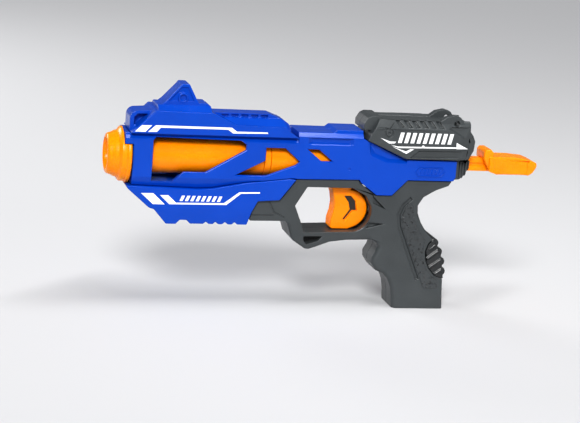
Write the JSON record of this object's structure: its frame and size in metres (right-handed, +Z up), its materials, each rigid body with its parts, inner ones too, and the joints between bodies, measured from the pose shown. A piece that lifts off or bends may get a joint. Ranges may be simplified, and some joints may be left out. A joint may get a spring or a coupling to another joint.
{
  "type": "toy foam dart blaster",
  "caption": "Spring-powered toy dart blaster with pull-back plunger, sliding trigger, windowed body shells, grip frame and rear hood.",
  "frame": {"origin": "on the surface that the grip's base stands on, under the middle of the toy's length and width", "axes": "+X from the muzzle to the pull handle, -Y to the shooter's left, +Z up"},
  "size_m": [0.295, 0.038, 0.1473],
  "materials": {
    "blue_plastic": "injection-moulded royal blue ABS, satin gloss with moulded edges",
    "orange_plastic": "injection-moulded safety orange ABS, satin gloss",
    "dark_grey_plastic": "injection-moulded dark grey ABS with a fine spark-eroded texture",
    "black_plastic": "plain black nylon for the hidden working pieces",
    "black_rubber": "soft black rubber",
    "steel": "bright zinc-plated steel wire and screws"
  },
  "bodies": {
    "blaster_frame": {"body_shell_left": "blue_plastic", "upper_shroud_left": "blue_plastic", "lower_shroud_left": "blue_plastic", "grip_frame_left": "dark_grey_plastic", "rear_hood_left": "dark_grey_plastic", "body_shell_right": "blue_plastic", "upper_shroud_right": "blue_plastic", "lower_shroud_right": "blue_plastic", "grip_frame_right": "dark_grey_plastic", "rear_hood_right": "dark_grey_plastic", "rear_cap": "dark_grey_plastic", "palm_pad": "black_rubber", "muzzle_ring": "orange_plastic", "barrel_tube": "orange_plastic", "breech_plug": "orange_plastic", "air_cylinder": "orange_plastic", "cylinder_end_cap": "black_plastic", "main_spring": "steel", "trigger_spring": "steel", "catch_spring": "steel", "body_screw_1": "steel", "body_screw_2": "steel", "body_screw_3": "steel", "body_screw_4": "steel", "body_screw_5": "steel", "body_screw_6": "steel", "body_screw_7": "steel", "frame_screw_1": "steel", "frame_screw_2": "steel", "frame_screw_3": "steel", "frame_screw_4": "steel", "frame_screw_5": "steel", "lower_shroud_screw_1": "steel", "lower_shroud_screw_2": "steel", "upper_shroud_screw_1": "steel", "upper_shroud_screw_2": "steel", "hood_screw_1": "steel", "hood_screw_2": "steel"},
    "plunger": {"plunger_bumper": "black_rubber", "plunger_head": "orange_plastic", "plunger_seal": "black_rubber", "plunger_rod": "orange_plastic", "pull_handle": "orange_plastic", "handle_pin": "steel"},
    "trigger": {"trigger": "orange_plastic"},
    "catch": {"catch_plate": "black_plastic"}
  },
  "joints": [
    {"name": "priming_slide", "type": "slide", "parent": "blaster_frame", "child": "plunger", "axis": [1, 0, 0], "range_m": [0, 0.042], "stiffness_N_per_m": 110, "springref_m": -0.01, "deforming": ["main_spring"]},
    {"name": "trigger_pull", "type": "slide", "parent": "blaster_frame", "child": "trigger", "axis": [1, 0, 0], "range_m": [0, 0.006], "stiffness_N_per_m": 180, "springref_m": -0.003, "deforming": ["trigger_spring"]},
    {"name": "catch_drop", "type": "slide", "parent": "blaster_frame", "child": "catch", "axis": [0, 0, -1], "range_m": [0, 0.003], "deforming": ["catch_spring"]}
  ],
  "couplings": [
    {"joint": "catch_drop", "follows": "trigger_pull", "ratio": 0.5}
  ]
}
